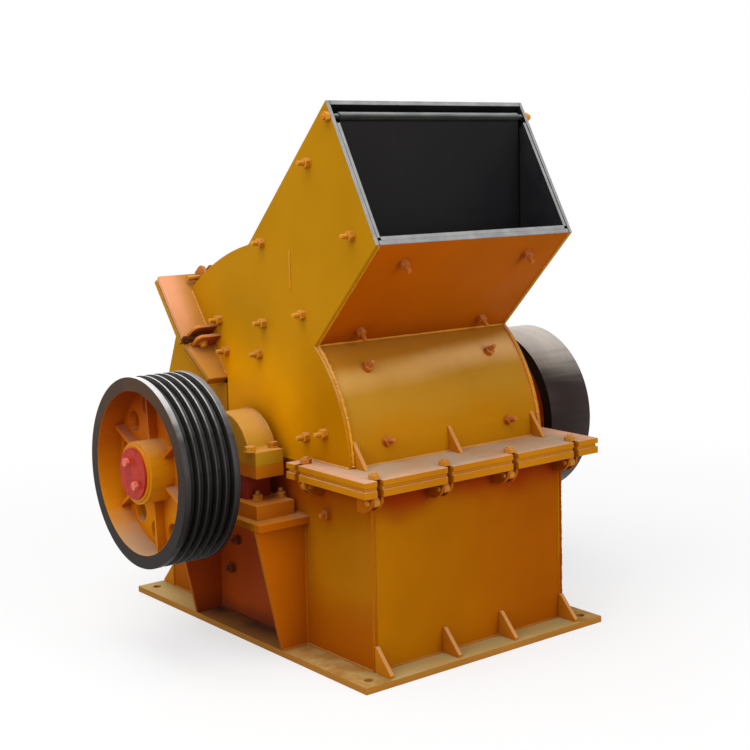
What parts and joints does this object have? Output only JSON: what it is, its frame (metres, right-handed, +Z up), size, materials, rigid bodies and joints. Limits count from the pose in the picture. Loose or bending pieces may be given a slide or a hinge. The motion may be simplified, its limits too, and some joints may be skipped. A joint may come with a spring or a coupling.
{
  "type": "hammer crusher",
  "caption": "Single-rotor hammer crusher: welded casing with sloping feed chute, rubber curtain, hinged rear cover, belt sheave and flywheel.",
  "frame": {"origin": "centre of the base plate's underside", "axes": "+X along the rotor shaft to the flywheel, +Y to the rear cover, +Z up"},
  "size_m": [1.52, 1.278, 1.5457],
  "materials": {
    "side_paint": "golden ochre machine enamel, satin, with weld lines and dust",
    "front_paint": "orange machine enamel, satin, dusty on flat tops",
    "dark_steel": "dark cast and rolled steel",
    "bare_steel": "bare cut steel edges and turned bar",
    "packing": "dark joint packing",
    "rubber": "black belting rubber, dusty",
    "wheel_iron": "machined grey iron rim, orange painted web and hub",
    "red_paint": "red enamel"
  },
  "bodies": {
    "housing": {"base_plate": "front_paint", "gussets": "front_paint", "lower_end_walls": "front_paint", "lower_left_wall": "side_paint", "lower_right_wall": "side_paint", "lower_flange": "side_paint", "flange_packing": "packing", "swing_bolt_lugs": "front_paint", "swing_bolts": "front_paint", "pedestals": "side_paint", "bearing_bases": "side_paint", "bearing_caps": "side_paint", "upper_flange": "side_paint", "upper_left_wall": "side_paint", "upper_right_wall": "side_paint", "front_plate": "front_paint", "chute_bottom_plate": "front_paint", "chute_top_plate": "side_paint", "crown_plate": "side_paint", "chute_liner": "bare_steel", "side_liners": "bare_steel", "front_liner": "dark_steel", "joint_flange": "side_paint", "clamp_lugs": "front_paint", "clamp_pins": "front_paint", "clamp_bolts": "dark_steel", "discharge_grate": "dark_steel", "grate_rails": "dark_steel", "hinge_lugs": "front_paint", "hinge_pins": "bare_steel", "curtain_rod": "bare_steel", "rod_nuts": "front_paint"},
    "rotor": {"rotor_shaft": "bare_steel", "rotor_discs": "dark_steel", "hammer_pins": "bare_steel", "hammers": "dark_steel", "drive_sheave": "wheel_iron", "flywheel": "wheel_iron", "end_discs": "red_paint"},
    "rear_cover": {"cover_sides": "side_paint", "cover_rear_plate": "side_paint", "cover_flange": "side_paint", "cover_hinge_arms": "front_paint"},
    "curtain": {"curtain_hanger": "bare_steel", "rubber_curtain": "rubber"}
  },
  "joints": [
    {"name": "rotor_spin", "type": "hinge", "parent": "housing", "child": "rotor", "pos_m": [0, 0, 0.538], "axis": [-1, 0, 0], "continuous": true},
    {"name": "cover_hinge", "type": "hinge", "parent": "housing", "child": "rear_cover", "pos_m": [0, 0.64, 0.439], "axis": [-1, 0, 0], "range_deg": [0, 90]},
    {"name": "curtain_swing", "type": "hinge", "parent": "housing", "child": "curtain", "pos_m": [0, -0.38635, 1.50165], "axis": [1, 0, 0], "range_deg": [0, 42]}
  ]
}
